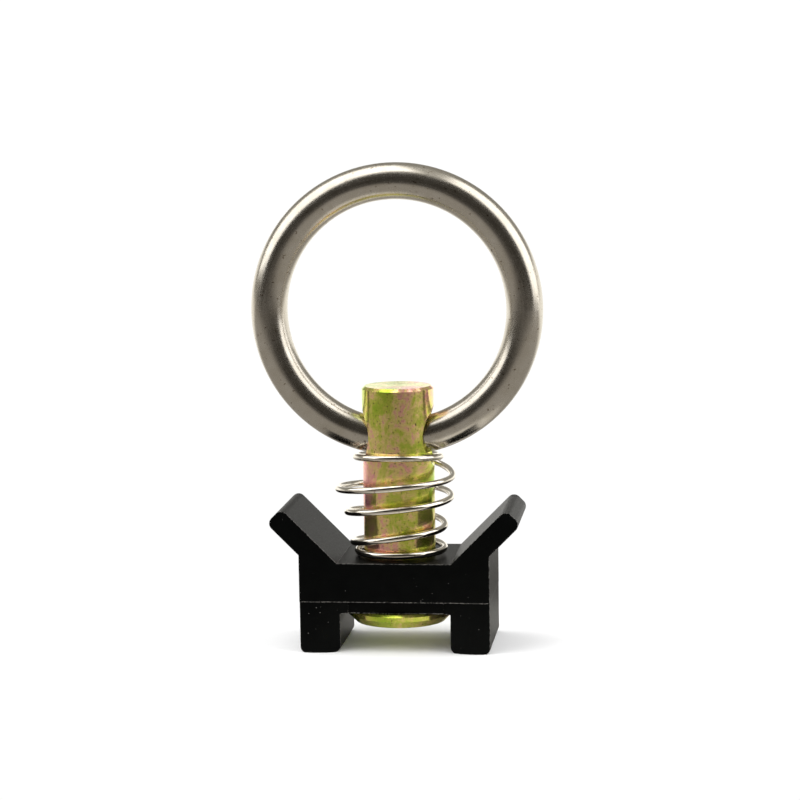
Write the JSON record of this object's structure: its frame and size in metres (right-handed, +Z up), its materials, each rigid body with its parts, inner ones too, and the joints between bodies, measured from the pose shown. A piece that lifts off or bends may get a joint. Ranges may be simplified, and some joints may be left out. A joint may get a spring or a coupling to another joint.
{
  "type": "track fitting with ring",
  "caption": "Spring-loaded stud fitting with a round ring, which locks into a slotted tie-down track and swivels.",
  "frame": {"origin": "on the stud's axis, at the height of the keeper's feet", "axes": "+Z up along the stud's axis towards the ring, X across the keeper's two wings and in the ring's plane, Y through the ring"},
  "size_m": [0.0508, 0.0212, 0.0839],
  "materials": {
    "stud_zinc": "yellow passivated zinc on steel, iridescent green, yellow and pink",
    "ring_nickel": "satin nickel on steel",
    "spring_nickel": "bright nickel on spring wire",
    "keeper_black": "satin black anodised"
  },
  "bodies": {
    "stud": {"stud": "stud_zinc"},
    "spring": {"spring": "spring_nickel"},
    "keeper": {"keeper": "keeper_black"},
    "ring": {"ring": "ring_nickel"}
  },
  "joints": [
    {"name": "ring_swing", "type": "hinge", "parent": "stud", "child": "ring", "pos_m": [0, 0, 0.0369], "axis": [1, 0, 0], "range_deg": [-90, 90]},
    {"name": "keeper_swivel", "type": "hinge", "parent": "stud", "child": "spring", "pos_m": [0, 0, 0.0157], "axis": [0, 0, 1], "continuous": true},
    {"name": "keeper_lift", "type": "slide", "parent": "spring", "child": "keeper", "axis": [0, 0, 1], "range_m": [0, 0.0088], "stiffness_N_per_m": 800, "springref_m": -0.006, "deforming": ["spring"]}
  ]
}
